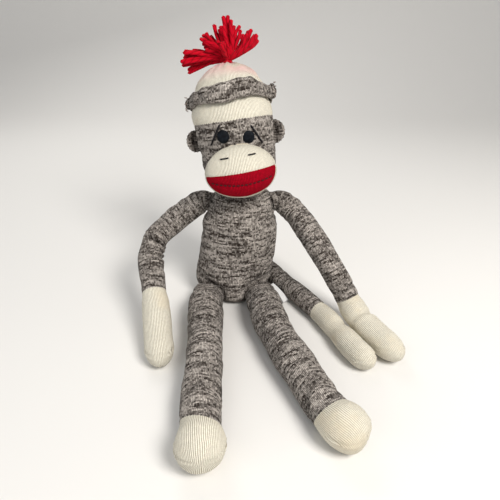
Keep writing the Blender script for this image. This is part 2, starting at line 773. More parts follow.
# In these, each waist is (place, width, share) and the gathers are (count, depth, reach)
legLooks = {
    "left": {
        "lumps": 0.0009, "seed": 1.3, "longSeam": -62, "tipSeam": 0.22, "tipPower": 2.6,
        "slant": (-0.0062, 0.0028, -0.0012), "short": 0.002, "foot": (0.0405, 0.0400),
        "gathers": (15, 0.0009, 0.006),
        "waists": ((0.088, 0.010, 0.030),
                   (0.150, 0.013, 0.035)),
        "folds": (
            (0.014, 95, 80, 0.0035, 0.0012, 0.004),
            (0.074, 30, 60, 0.0050, 0.0008, 0.006),
            (0.128, 130, 65, 0.0060, 0.0008, -0.005),
            (0.188, 90, 80, 0.0050, 0.0007, 0.003),
        ),
    },
    "right": {
        "lumps": 0.0009, "seed": 5.9, "longSeam": 242, "tipSeam": 0.22, "tipPower": 2.8,
        "slant": (0.0, 0.0036, 0.0), "short": 0.002, "foot": (0.0382, 0.0395),
        "gathers": (15, 0.0009, 0.006),
        "waists": ((0.095, 0.012, 0.035),
                   (0.165, 0.012, 0.030)),
        "folds": (
            (0.015, 85, 80, 0.0035, 0.0012, -0.004),
            (0.083, 160, 60, 0.0060, 0.0010, 0.005),
            (0.121, 60, 60, 0.0060, 0.0008, -0.004),
            (0.181, 150, 60, 0.0050, 0.0009, 0.004),
        ),
    },
}
armLooks = {
    "left": {
        "lumps": 0.0008, "seed": 8.2, "longSeam": -100, "tipSeam": 0.62, "short": 0.005,
        "widths": (0.0280, 0.0276, 0.0250, 0.0292),
        "gathers": (13, 0.0009, 0.005),
        "waists": ((0.088, 0.009, 0.05),),
        "folds": (
            (0.0860, 150, 115, 0.0021, 0.0058, 0.003),
            (0.0950, 195, 60, 0.0026, 0.0016, -0.003),
            (0.1060, 152, 85, 0.0027, 0.0032, -0.003),
            (0.1200, 190, 60, 0.0034, 0.0010, 0.002),
            (0.034, 60, 60, 0.0050, 0.0010, 0.004),
            (0.138, 110, 70, 0.0045, 0.0009, 0.0),
        ),
    },
    "right": {
        "lumps": 0.0008, "seed": 2.4, "longSeam": -80, "tipSeam": 0.62, "short": 0.002,
        "widths": (0.0268, 0.0280, 0.0256, 0.0292),
        "gathers": (13, 0.0009, 0.005),
        "waists": ((0.036, 0.008, 0.04),
                   (0.172, 0.008, 0.05)),
        "folds": (
            (0.024, 70, 70, 0.0040, 0.0015, 0.004),
            (0.047, 200, 60, 0.0045, 0.0012, 0.003),
            (0.135, 90, 75, 0.0040, 0.0010, -0.003),
            (0.172, 92, 95, 0.0040, 0.0018, 0.002),
        ),
    },
}
tailLook = {
    "lumps": 0.0007, "seed": 4.4, "longSeam": -95, "tipSeam": 0.5,
    "gathers": (11, 0.0007, 0.004),
    "waists": ((0.188, 0.011, 0.13),),
    "folds": (
        (0.020, 90, 100, 0.0030, 0.0014, 0.002),
        (0.033, 60, 80, 0.0032, 0.0014, -0.002),
        (0.060, 110, 80, 0.0040, 0.0009, 0.003),
        (0.186, 150, 70, 0.0045, 0.0012, 0.004),
    ),
}


legSizes = {"hip": (0.030, -0.022, 0.012), "long": 0.240, "foot": 0.043, "change": 0.0052,
            "root": (.037, .025), "thigh": .0385, "shin": .0355, "ankle": .0335,
            "rootDome": 0.0125, "tipDome": 0.023}
armSizes = {"seam": 0.112, "out": 0.039, "long": .222, "lies": 0.01375, "hand": 0.092,
            "root": .022, "tipDome": 0.024}
tailSizes = {"seam": 0.0085, "out": (0.008, 0.036, 0), "long": 0.205, "tip": 0.098,
             "root": .018, "width": .0224, "end": .0256, "rootDome": 0.009, "tipDome": 0.018}


def legTube(side):
    size, look = legSizes, legLooks[side]
    hip = Vector(size["hip"])
    hip.x *= sides[side]
    route = Route([hip + Vector((x, y, 0)) * size["long"] for x, y in legRoutes[side]])
    ankle = route.length - size["foot"]
    thigh, shin = size["thigh"], size["shin"]
    stations = ((0, *size["root"]), (.040, thigh, thigh), (route.length / 2, shin, shin),
                (ankle, size["ankle"], size["ankle"]), (ankle + .0215, *look["foot"]))
    route.length -= look["short"]
    tube = StuffedTube(route, stations, size["rootDome"], size["tipDome"], True, look)
    return tube, ankle + size["change"]


def armTube(side):
    size, look, sign = armSizes, armLooks[side], sides[side]
    seam = torsoMiddle(size["seam"]) + Vector((sign * size["out"], 0, 0))
    long, drop = size["long"], size["lies"] - size["seam"]
    route = Route([seam + Vector((sign * x * long, y * long, z * drop))
                   for x, y, z in armRoutes[side]])
    wrist = route.length - size["hand"]
    root, middle, cuff, palm = look["widths"]
    stations = ((0, size["root"], size["root"]), (.0144, root, root), (wrist / 2, middle, middle),
                (wrist, cuff, cuff), (wrist + .014, palm, palm * 0.95))
    route.length -= look["short"]
    return StuffedTube(route, stations, 0.0, size["tipDome"], False, look), wrist


def tailTube():
    size, width = tailSizes, tailSizes["width"]
    root = torsoMiddle(size["seam"]) + Vector(size["out"])
    route = Route([root + Vector((x, y, 0)) * size["long"] for x, y in tailShares])
    tip = route.length - size["tip"]
    stations = ((0, size["root"], size["root"]), (width, width, width), (tip, width, width),
                (tip + .049, size["end"], size["end"]))
    return StuffedTube(route, stations, size["rootDome"], size["tipDome"], True, tailLook), tip


legs = {side: legTube(side) for side in sides}
arms = {side: armTube(side) for side in sides}
tail, tailChange = tailTube()
torsoCad = surfaceTree(frame["nodes"]["torso"])


# How far a spot is outside a limb's root, along which it is searched
def limbGap(tube, spot):
    best = 1.0
    for step in range(9):
        mark = step * 0.0045
        middle, heading, across, up, width, height, shrink, forward = tube.ring(mark)
        away = spot - middle
        along = away.dot(heading)
        if abs(along) > 0.004:
            continue
        flat = away - heading * along
        best = min(best, flat.length - (width + height) / 4)
    return best


# Round the belly and the crotch out, draw the knit in at every seam, and seat the neck
def torsoAdjust(spot, angle, mark, outward):
    level = outward.copy()
    level.z = 0
    if spot.z < 0.09:
        facing = {"side": max(-math.cos(angle), 0), "front": max(-math.sin(angle), 0)}
        for way, amount, power, height, reach in torsoLook["bulges"]:
            share = facing[way] ** power
            spot = spot + level * (amount * share * bell((spot.z - height) / reach))
    if spot.z < 0.045 and spot.y < 0.01:
        near, depth, reach = torsoLook["hip"]
        for tube, ankle in legs.values():
            gap = limbGap(tube, spot)
            if gap < near:
                spot = spot - outward * (depth * bell(max(gap, 0) / reach))
    if spot.z > 0.085:
        near, depth, reach = torsoLook["shoulder"]
        size, count, distance, over = torsoLook["shoulderPleats"]
        for tube, wrist in arms.values():
            gap = limbGap(tube, spot)
            if gap < near:
                pull = depth * bell(max(gap, 0) / reach)
                pull += size * math.cos(angle * count) * bell((gap - distance) / over)
                spot = spot - outward * pull
        away = (spot - neckPlace).length
        skin, normal, index, gap = torsoCad.find_nearest(spot)
        start, over = torsoLook["neckRoom"]
        share = 1 - min(max((away - start) / over, 0), 1)
        size, count, distance, over = torsoLook["neckPleats"]
        pleat = size * math.cos(angle * count + math.sin(angle * 3) * 2)
        pleat *= bell((away - distance) / over)
        spot = spot.lerp(skin - normal * torsoLook["under"], share) + outward * pleat
    return settle(spot)


torsoProfile = [(r * torsoLook["width"] / 2, h * torsoLook["height"] - sunk)
                for r, h in torsoLook["profile"]]
shear = Matrix.Identity(4)
shear[0][2] = math.tan(math.radians(torsoLook["sway"]))
shear[1][2] = math.tan(math.radians(torsoLook["lean"]))
shear[1][3] = torsoLook["back"]
torsoShape = TurnedShape(torsoProfile, torsoLook["depth"] / torsoLook["width"], shear, torsoLook,
                         torsoAdjust)
torso = torsoShape.part("torsoKnit", meshStep["turned"], marl)
fillOut(torso, [(neckPlace, 0.052), (tail.route.at(0), 0.030)])
register(torso, "torso", ["torso"])
print("torso made")

# Limbs

for side in sides:
    tube, ankle = legs[side]
    marled, creamy = tube.parts((side + "Leg", side + "Foot"), ankle, legLooks[side]["slant"])
    fillOut(marled, [(tube.route.at(0), 0.026)])
    register(marled, "leg_" + side, ["leg_" + side])
    register(creamy, "leg_" + side, ["foot_" + side])
    tube, wrist = arms[side]
    marled, creamy = tube.parts((side + "Arm", side + "Hand"), wrist)
    fillOut(marled, [(tube.route.at(0), 0.018)])
    register(marled, "arm_" + side, ["arm_" + side])
    register(creamy, "arm_" + side, ["hand_" + side])
marled, creamy = tail.parts(("tailKnit", "tailTip"), tailChange)
fillOut(marled, [(tail.route.at(0), 0.032)])
register(marled, "tail", ["tail"])
register(creamy, "tail", ["tail_tip"])
print("limbs made")

# Head

headLook = {
    "width": 0.088, "depth": 0.080, "height": 0.132, "lumps": 0.0009, "seed": 6.6,
    "neck": 0.023, "band": 0.082, "bandTooth": 0.0005, "bandWaver": 0.0009,
    # how deep each is, and over what reach: the neck's pleats also have a count and a height,
    # and the bulge at the left has the head's half width and a height
    "pleats": (0.0006, 20, 0.002, 0.008), "socket": (0.0008, 0.0085),
    "bandGroove": (0.0005, 0.0011), "bulge": (0.0026, 0.042, 0.094, 0.012),
    "profile": ((.64, .05), (.82, .12), (.90, .22), (.95, .34), (.96, .46), (.99, .60),
                (.99, .68), (.93, .755), (.81, .835), (.62, .915), (.36, .98), (0, 1)),
    "folds": (
        (0.012, 90, 120, 0.0040, 0.0012, 0.002),
        (0.022, 60, 70, 0.0045, 0.0008, 0.004),
        (0.048, 180, 45, 0.0060, 0.0007, 0.004),
        (0.040, 0, 45, 0.0060, 0.0007, -0.004),
    ),
}
neckArc = [(headLook["neck"] * math.sin(math.radians(90) * i / 5),
            -headLook["neck"] * math.cos(math.radians(90) * i / 5)) for i in range(6)]
headProfile = neckArc + [(r * headLook["width"] / 2, h * headLook["height"])
                         for r, h in headLook["profile"]]
eyeSpots = {"left": Vector((-0.013, 0, 0.067)), "right": Vector((0.013, 0, 0.063))}
headBack = headMatrix.inverted()
headAhead = (headMatrix.to_3x3() @ Vector((0, 1, 0))).normalized()


# Gather the neck and let the eyes sit in a little
def headAdjust(spot, angle, mark, outward):
    local = headBack @ spot
    size, count, height, reach = headLook["pleats"]
    pleat = bell((local.z - height) / reach) * size
    push = pleat * math.cos(angle * count + math.sin(angle * 3) * 2)
    if local.y < 0:
        size, reach = headLook["socket"]
        for eye in eyeSpots.values():
            away = math.hypot(local.x - eye.x, local.z - eye.z)
            push -= size * bell(away / reach)
    size, reach = headLook["bandGroove"]
    push -= size * bell((local.z - headLook["band"]) / reach)
    size, half, height, reach = headLook["bulge"]
    push += size * max(-local.x / half, 0) ** 2 * bell((local.z - height) / reach)
    return spot + outward * push


headShape = TurnedShape(headProfile, headLook["depth"] / headLook["width"], headMatrix, headLook,
                        headAdjust)
bandMark = headShape.markAtHeight(headLook["band"])


# The colour change steps by half a stitch from wale to wale
def bandTooth(shape, change):
    def place(column, mark):
        if mark == change:
            mark += headLook["bandTooth"] * math.cos(math.tau * column * shape.wales)
            mark += headLook["bandWaver"] * noise.noise(Vector((column * 23, 3.3, 0)))
        return shape.place(column, mark)
    return place


placeHead = bandTooth(headShape, bandMark)
head = sheetObject("headKnit", headShape.wales * 2, evenMarks(0.0, bandMark, meshStep["turned"]),
                   placeHead, headShape.knit, marl)
headBand = sheetObject("headBand", headShape.wales * 2,
                       evenMarks(bandMark, headShape.route.length, meshStep["turned"]),
                       placeHead, headShape.knit, cream)
fillOut(head, [(neckPlace, 0.046)])
register(head, "head", ["head"])
register(headBand, "head", ["head_top"])
headTree = surfaceTree(head, headBand)
print("head made")

# Muzzle

muzzleLook = {
    "half": (0.038, 0.024, 0.02825), "middle": (0, -0.040, 0.029),
    "lipLine": 0.0302, "lipTilt": 2.2, "lipSag": 0.0012, "lumps": 0.0006, "seed": 9.1,
    "lipGroove": 0.0006, "mouthGroove": 0.0007, "mouth": (0.0171, -0.015, 4.8),
    "lipHalf": 0.0012, "mouthHalf": 0.0016, "mouthReach": 0.033, "lipTooth": 0.00042,
    # in degrees from the muzzle's front: the strip's start, its sway and its waver
    "stripFrom": 62.0, "stripSway": 13.0, "stripWaver": 0.8, "far": 118, "columns": 128,
}
muzzleFar = math.radians(muzzleLook["far"])


# Its mark is the angle away from the front of the muzzle
def muzzlePlace(column, mark):
    turn = math.tau * column
    half, middle = muzzleLook["half"], Vector(muzzleLook["middle"])
    facing = Vector((math.sin(mark) * math.cos(turn), -math.cos(mark),
                     math.sin(mark) * math.sin(turn)))
    spot = middle + Vector((facing.x * half[0], facing.y * half[1], facing.z * half[2]))
    outward = Vector((facing.x / half[0], facing.y / half[1], facing.z / half[2])).normalized()
    push = lumpPush(spot, muzzleLook["lumps"], muzzleLook["seed"])
    push -= muzzleLook["lipGroove"] * bell((spot.z - lipHeight(spot.x)) / muzzleLook["lipHalf"])
    if abs(spot.x) < muzzleLook["mouthReach"]:
        off = (spot.z - mouthHeight(spot.x)) / muzzleLook["mouthHalf"]
        push -= muzzleLook["mouthGroove"] * bell(off)
    return headMatrix @ (spot + outward * push)


def lipHeight(x):
    return (muzzleLook["lipLine"] + x * math.tan(math.radians(muzzleLook["lipTilt"]))
            + muzzleLook["lipSag"] * ((x / 0.036) ** 2 - 0.5))


def mouthHeight(x):
    level, slope, curve = muzzleLook["mouth"]
    return level + slope * x + curve * x * x


def muzzleKnit(column, mark, middle):
    turn = math.tau * column
    half = muzzleLook["half"]
    return (mark * math.cos(turn) * half[0] * 0.92 / stitch["across"] + 40,
            mark * math.sin(turn) * half[2] * 0.96 / stitch["along"] + 40)


# Keep one side of the lip line, and step its edge from stitch to stitch
def cutBelow(item, keepBelow):
    build = bmesh.new()
    build.from_mesh(item.data)
    layer = build.loops.layers.uv["knit"]
    build.transform(headBack)
    for vert in build.verts:
        vert.co.z -= lipHeight(vert.co.x)
    geometry = build.verts[:] + build.edges[:] + build.faces[:]
    bmesh.ops.bisect_plane(build, geom=geometry, plane_co=(0, 0, 0), plane_no=(0, 0, 1),
                           clear_outer=keepBelow, clear_inner=not keepBelow)
    for vert in build.verts:
        if abs(vert.co.z) < weld:
            count = vert.link_loops[0][layer].uv.x
            vert.co.z += muzzleLook["lipTooth"] * math.cos(math.tau * count)
        vert.co.z += lipHeight(vert.co.x)
    build.transform(headMatrix)
    build.to_mesh(item.data)
    build.free()
    item.data.shade_smooth()


# Where the cream strip under the lips begins, as an angle from the muzzle's front
def edgeAngle(column):
    turn = math.tau * column
    return math.radians(muzzleLook["stripFrom"] + muzzleLook["stripSway"] * math.cos(turn) ** 2
                        + muzzleLook["stripWaver"] * math.sin(turn * 7))


# A piece of the muzzle between two angles, which are worked out for each column
def muzzlePiece(name, rows, between, material):
    def mark(column, share):
        near, far = between(column)
        return near + (far - near) * share

    return sheetObject(name, muzzleLook["columns"], shares(rows),
                       lambda column, share: muzzlePlace(column, mark(column, share)),
                       lambda column, share, middle: muzzleKnit(column, mark(column, share), middle),
                       material)


muzzle = sheetObject("muzzleKnit", muzzleLook["columns"], shares(52, 0.0, muzzleFar), muzzlePlace,
                     muzzleKnit, cream)
lips = muzzlePiece("lipsKnit", 40, lambda column: (0.0, edgeAngle(column)), red)
muzzleEdge = muzzlePiece("muzzleEdge", 12, lambda column: (edgeAngle(column), muzzleFar), cream)
cutBelow(muzzle, False)
cutBelow(lips, True)
cutBelow(muzzleEdge, True)
register(muzzleEdge, "head", ["muzzle_edge"])
register(muzzle, "head", ["muzzle"])
register(lips, "head", ["lips"])
faceTree = surfaceTree(head, headBand, muzzle, lips, muzzleEdge)


# True where a spot of the muzzle's skin is already within the head
def insideHead(spot):
    local = headBack @ spot
    if local.z < 0:
        return False
    reach = headShape.route.at(headShape.markAtHeight(local.z)).x
    return math.hypot(local.x, local.y / headShape.depthShare) < reach


# Where the muzzle's skin goes into the head, a little in front of the seam
def skinEdge(column, lift):
    low, high = 0.2, muzzleFar
    for step in range(22):
        half = (low + high) / 2
        if insideHead(muzzlePlace(column, half)):
            high = half
        else:
            low = half
    spot = muzzlePlace(column, low)
    local = headBack @ spot
    facing = Vector((local.x, local.y * 0.8, local.z - muzzleLook["middle"][2])).normalized()
    return headMatrix @ (local + facing * lift)


welt = [skinEdge(column % 1.0, 0.0002) for column in shares(200)]
seamThread = yarnObject("muzzleSeam", [(welt, roundEnds(0.0006, 0.004), 8, 2, plyPitch["seam"], 0.2)],
                        yarns["creamThread"])
register(seamThread, "head", [])
print("muzzle made")

# Eyes and stitched face

eyeLook = {"width": 0.0133, "tall": 1.05, "dome": 0.0036, "under": 0.0012, "rim": 0.0016}


# A shallow dome with a rounded rim
def eyeObject(side):
    spot = eyeSpots[side]
    front = headMatrix @ Vector((spot.x, -0.09, spot.z))
    hit, normal, index, gap = headTree.ray_cast(front, headAhead)
    radius = eyeLook["width"] / 2
    axis = (normal * 0.6 - headAhead * 0.4).normalized()
    across = (headMatrix.to_3x3() @ Vector((1, 0, 0)))
    across = (across - axis * across.dot(axis)).normalized()
    up = axis.cross(across).normalized()
    base = hit - axis * eyeLook["under"]

    def place(column, mark):
        turn = math.tau * column
        dome = math.cos(mark) ** 0.75 if mark < math.pi / 2 else 0
        lift = eyeLook["under"] + eyeLook["dome"] * dome
        flat = across * math.cos(turn) + up * (math.sin(turn) * eyeLook["tall"])
        return base + flat * (radius * math.sin(mark)) + axis * lift

    build, layer = newBuild()
    addSheet(build, layer, 48, shares(16, 0.0, math.pi / 2), place, plainCounts(1, 1))
    bmesh.ops.remove_doubles(build, verts=build.verts, dist=weld)
    rim = [edge for edge in build.edges if edge.is_boundary]
    made = bmesh.ops.extrude_edge_only(build, edges=rim)["geom"]
    for vert in made:
        if isinstance(vert, bmesh.types.BMVert):
            vert.co = vert.co - axis * eyeLook["rim"] + (hit - vert.co) * 0.03
    bmesh.ops.contextual_create(build, geom=[e for e in build.edges if e.is_boundary])
    eye = finishMesh(build, side + "Eye", blackEye)
    register(eye, "head", ["eye_" + side])


for side in sides:
    eyeObject(side)


# A place on the face's skin, straight ahead of a point in the head's own frame
def onFace(x, z, lift):
    start = headMatrix @ Vector((x, -0.12, z))
    hit, normal, index, gap = faceTree.ray_cast(start, headAhead)
    return hit - headAhead * lift


# One stitch: it lies on the skin and goes in at both of its ends
def stitchOn(first, second, radius, steps=14, dive=0.0016):
    points = []
    for index in range(steps + 1):
        t = index / steps
        x = first[0] + (second[0] - first[0]) * t
        z = first[1] + (second[1] - first[1]) * t
        ends = abs(2 * t - 1) ** 6
        points.append(onFace(x, z, radius * 0.95 - ends * dive))
    return (points, roundEnds(radius, 0.05), 10, 2, radius * 5.5, 0.2)


# Each long stitch: its two ends in the head's own frame, as (across, height), and its radius
faceStitches = {
    "leftBrow": ((-0.0144, 0.0800), (-0.0278, 0.0590), 0.00118),
    "rightBrow": ((0.0166, 0.0752), (0.0277, 0.0540), 0.00118),
    "leftNostril": ((-0.0191, 0.0457), (-0.0096, 0.0461), 0.00085),
    "rightNostril": ((0.0096, 0.0463), (0.0179, 0.0466), 0.00085),
}
mouthLook = {"from": -0.0315, "to": 0.0330, "count": 15, "share": 0.62, "radius": 0.0006,
             "dive": 0.0012}
for name, long in faceStitches.items():
    thread = yarnObject(name, [stitchOn(*long)], yarns["faceThread"])
    register(thread, "head", [])


def mouthStitches():
    strands = []
    start, end, count = mouthLook["from"], mouthLook["to"], mouthLook["count"]
    for index in range(count):
        near = start + (end - start) * index / count
        far = near + (end - start) / count * mouthLook["share"]
        strands.append(stitchOn((near, mouthHeight(near)), (far, mouthHeight(far)),
                                mouthLook["radius"], 8, mouthLook["dive"]))
    return strands


mouth = yarnObject("mouthThread", mouthStitches(), yarns["faceThread"])
register(mouth, "head", [])
print("face made")

# Ears

earLook = {
    "reach": 0.0125, "half": 0.0134, "thick": 0.0047, "lumps": 0.0004,
    "left": (-0.0460, 0.0650), "right": (0.0425, 0.0640),
    "slim": {"left": 0.80, "right": 1.0},
    "ridges": 0.00110, "ridgePitch": 0.0029, "cup": 0.0056, "back": 0.0012, "bowl": (1.45, 1.4),
    "rim": (0.0005, 0.12, 20),
}


# A folded half disc, cupped in front
def earObject(side):
    sign = sides[side]
    middle = Vector((earLook[side][0], 0.0, earLook[side][1]))
    slim = earLook["slim"][side]

    def place(column, mark):
        turn = math.tau * column
        share = math.sin(mark)
        x, z = share * math.cos(turn), share * math.sin(turn)
        y = -math.cos(mark)
        if mark < math.pi / 2:
            deep, power = earLook["bowl"]
            y += deep * max(1 - share * share, 0) ** power
        spot = middle + Vector((x * earLook["reach"] * sign * slim, y * earLook["thick"],
                                z * earLook["half"] * (slim + 1) / 2))
        spot.y += earLook["cup"] * max(0.75 - x, 0) ** 1.3 - earLook["back"]
        ridge = earLook["ridges"] * math.cos(math.tau * spot.z / earLook["ridgePitch"] + x * sign)
        spot.y -= ridge * math.copysign(1, math.cos(mark)) * min(2 - 2 * share, 1)
        lump = lumpPush(spot, earLook["lumps"], 3.0 + sign)
        size, width, count = earLook["rim"]
        rim = size * bell((mark - math.pi / 2) / width) * math.cos(turn * count)
        return headMatrix @ (spot + Vector((x * sign, 0, z)) * (lump + rim))

    def knit(column, mark, middleColumn):
        turn = math.tau * column
        return (mark * math.sin(turn) * earLook["half"] / stitch["across"] * 0.8 + 20,
                mark * math.cos(turn) * earLook["reach"] / stitch["along"] * 0.8 + 20)

    ear = sheetObject(side + "Ear", 72, shares(44, 0.0, math.pi), place, knit, marl)
    register(ear, "head", ["ear_" + side])


for side in sides:
    earObject(side)
print("ears made")

# Hat

hatLook = {
    "base": 0.1075, "tilt": 12.0, "roll": 2.5, "width": 0.080, "depth": 0.076, "height": 0.036,
    "low": 0.006, "lumps": 0.0007, "seed": 7.7, "pleats": 13, "pleatDepth": 0.0011,
    "top": 0.93,
    "profile": ((1, 0), (.965, .18), (.88, .38), (.745, .57), (.58, .735), (.38, .86), (.18, .92),
                (0, .93)),
    "folds": (
        (0.010, 230, 50, 0.0035, 0.0012, 0.006),
        (0.016, 318, 45, 0.0035, 0.0011, -0.006),
        (0.012, 100, 70, 0.0040, 0.0010, 0.004),
    ),
}
brimLook = {
    "proud": 0.0045, "reach": 0.0032, "endReach": 0.0030, "lumps": 0.0008, "seed": 12.4,
    # the roll's middle height and half height, by its angle round the hat in degrees
    "line": ((-180, -.0034, .0078), (-165, -.0044, .0074), (-147, -.0048, .0070),
             (-120, -.0060, .0088), (-98, -.0056, .0102), (-82, -.0031, .0102),
             (-60, -.0007, .0099), (-45, -.0026, .0076), (-25, -.0034, .0066),
             (-10, -.0016, .0076), (0, -.0008, .0081), (50, -.0010, .0090),
             (90, -.0015, .0096), (135, -.0020, .0092), (180, -.0034, .0078)),
    # the end curls: how far in from the roll, their middle height and half height
    "curls": {"left": (0.0002, -.0048, .0064), "right": (0.0, .0004, .0082)}, "wall": 0.0007,
    "curlFrom": 70, "curlTurn": 400, "curlCore": 0.0012, "curlGrow": 0.0024,
    "clear": (0.0004, 0.0020), "swing": 0.0007, "nick": (0.0016, 0.985, 0.012),
}
hatMatrix = (headMatrix @ Matrix.Translation((0, 0, hatLook["base"]))
             @ Matrix.Rotation(math.radians(hatLook["roll"]), 4, "Y")
             @ Matrix.Rotation(math.radians(-hatLook["tilt"]), 4, "X"))
hatBack = hatMatrix.inverted()


# The cap is drawn up into pleats below the pompom
def hatAdjust(spot, angle, mark, outward):
    local = hatBack @ spot
    share = min(max(local.z / hatLook["height"], 0), 1)
    reach = math.hypot(local.x, local.y)
    wave = math.cos(hatLook["pleats"] * angle + 1.7 * math.sin(3 * angle))
    push = hatLook["pleatDepth"] * wave * share ** 1.5 * min(reach / 0.012, 1)
    return spot + outward * push


capProfile = [(0.97 * hatLook["width"] / 2, -hatLook["low"])]
capProfile += [(r * hatLook["width"] / 2, h * hatLook["height"]) for r, h in hatLook["profile"]]
capShape = TurnedShape(capProfile, hatLook["depth"] / hatLook["width"], hatMatrix, hatLook,
                       hatAdjust)
hatCrown = capShape.part("hatCrown", meshStep["hat"], hatCream)
register(hatCrown, "head", ["hat_crown"])


# The roll's middle height and its half height at an angle
def brimLine(angle):
    return easeBetween(brimLook["line"], math.degrees(turnBetween(angle, 0.0)))


# Move a spot of the hat outwards until it is clear of the head below it
def clearHead(spot, margin):
    local = headBack @ (hatMatrix @ spot)
    limit = headShape.route.at(headShape.markAtHeight(local.z)).x + margin
    reach = math.hypot(local.x, local.y / headShape.depthShare)
    if reach < limit:
        local.x *= limit / reach
        local.y *= limit / reach
    return hatBack @ (headMatrix @ local)


# Mark runs round the roll's section, and column round the head
def brimPlace(column, mark):
    angle = math.tau * column + math.pi / 2
    cos, sin = math.cos(angle), math.sin(angle)
    around = Vector((cos, sin * hatLook["depth"] / hatLook["width"], 0))
    end = cos ** 8
    tip = abs(cos) ** 60
    middle, tall = brimLine(angle)
    reach = hatLook["width"] / 2 + brimLook["proud"] - brimLook["reach"]
    reach += brimLook["endReach"] * end
    lift = math.tau * mark
    bulge = math.copysign(abs(math.cos(lift)) ** 0.8, math.cos(lift))
    out = around * (reach + brimLook["reach"] * bulge * (1 - 0.45 * tip))
    spot = out + Vector((0, 0, tall * math.sin(lift) + middle))
    near, far = brimLook["clear"]
    spot = clearHead(spot, near + far * (1 + bulge))
    outward = (around * math.cos(lift) + Vector((0, 0, math.sin(lift) * 0.5))).normalized()
    push = lumpPush(spot, brimLook["lumps"], brimLook["seed"])
    push += brimLook["swing"] * math.sin(lift + 9 * angle + 2 * math.sin(5 * angle))
    deep, at, width = brimLook["nick"]
    push -= deep * bell((abs(cos) - at) / width)
    return hatMatrix @ (spot + outward * push)


brim = sheetObject("hatBrim", 260, shares(36), brimPlace, plainCounts(89, 28), marl)
register(brim, "head", ["hat_brim"])


# The raw end of the folded band curls into a small hollow roll
def endCurl(side):
    sign = sides[side]
    inset, level, tall = brimLook["curls"][side]
    out = hatLook["width"] / 2 + brimLook["proud"] + brimLook["endReach"] - inset

    def place(column, mark):
        height = (column - 0.5) * 2
        turn = mark * math.radians(brimLook["curlTurn"]) - math.radians(brimLook["curlFrom"])
        radius = brimLook["curlCore"] + brimLook["curlGrow"] * mark
        radius *= 1 - 0.38 * height * height
        radius += 0.0003 * math.sin(height * 7 + sign)
        wave = 0.0006 * math.sin(column * 41) * mark
        spot = Vector((sign * math.cos(turn) * radius, -math.sin(turn) * radius * 0.9, 0))
        spot += Vector((sign * (out - 0.0016 * height * height), -0.0035 + 0.001 * height,
                        level + tall * height + wave))
        spot += Vector((lumpPush(spot, 0.0004, 1.0), 0, 0))
        return hatMatrix @ spot

    curl = sheetObject(side + "BrimCurl", 22, shares(30), place,
                       lambda column, mark, middle: (mark * 6.5, column * 9), marl)
    wall = curl.modifiers.new("wall", "SOLIDIFY")
    wall.thickness = brimLook["wall"]
    register(curl, "head", [])


for side in sides:
    endCurl(side)


frayLook = {"count": 6, "radius": 0.00042, "out": 0.0076, "front": 0.005, "scatter": 0.002,
            "reach": (0.0010, 0.0030), "drop": 0.0035, "bow": 0.0022, "rise": 0.0012}


# Loose loops of yarn at the band's raw ends
def frayStrands():
    strands = []
    for side, sign in sides.items():
        inset, level, tall = brimLook["curls"][side]
        for index in range(frayLook["count"]):
            height = tall * dice.uniform(-1.0, 1.0)
            out = hatLook["width"] / 2 + frayLook["out"] - inset
            scatter = dice.uniform(-frayLook["scatter"], frayLook["scatter"])
            base = Vector((sign * out, -frayLook["front"] + scatter, height + level))
            reach = dice.uniform(*frayLook["reach"])
            drop = dice.uniform(-frayLook["drop"], frayLook["drop"])
            points = []
            for step in range(13):
                t = step / 12
                arch = math.sin(math.pi * t)
                spot = base + Vector((sign * reach * arch,
                                      -frayLook["bow"] * arch + frayLook["rise"] * t, drop * t))
                points.append(hatMatrix @ spot)
            strands.append((points, roundEnds(frayLook["radius"], 0.04), 7, 2, plyPitch["fray"], 0.2))
    return strands


fray = yarnObject("brimFray", frayStrands(), yarns["marlYarn"])
register(fray, "head", [])
print("hat made")

# Pompom

pompomLook = {
    "length": 0.0480, "radius": 0.0019, "knot": 0.0085, "droop": 0.10, "plyPitch": 0.0105,
    # each tuft: strands, lean to the viewer's left, lean to the front, spread of both, length,
    # and how far its middle bows across and up
    "tufts": (
        (17, 82, 4, (13, 20), 1.02, (0.0, 0.0035)), (6, 60, -8, (9, 22), 0.86, (0.0, 0.003)),
        (5, 40, 14, (9, 18), 0.80, (0.0, 0.002)), (5, 48, 4, (18, 24), 0.62, (0.0, 0.002)),
        (4, 24, -10, (5, 14), 0.84, (0.0, 0.0)), (2, 12, 4, (2, 8), 1.04, (0.0, 0.0)),
        (6, 8, 14, (12, 16), 0.80, (0.0, 0.0)), (9, -6, 8, (6, 14), 1.05, (0.001, 0.0)),
        (8, -22, -6, (8, 20), 0.88, (0.0015, 0.0)),
        (17, -44, 4, (9, 16), 0.92, (0.0034, -0.0030)),
        (5, 15, -42, (35, 14), 0.82, (0.0, 0.0)), (4, -5, 52, (34, 10), 0.60, (0.0, 0.0)),
    ),
}


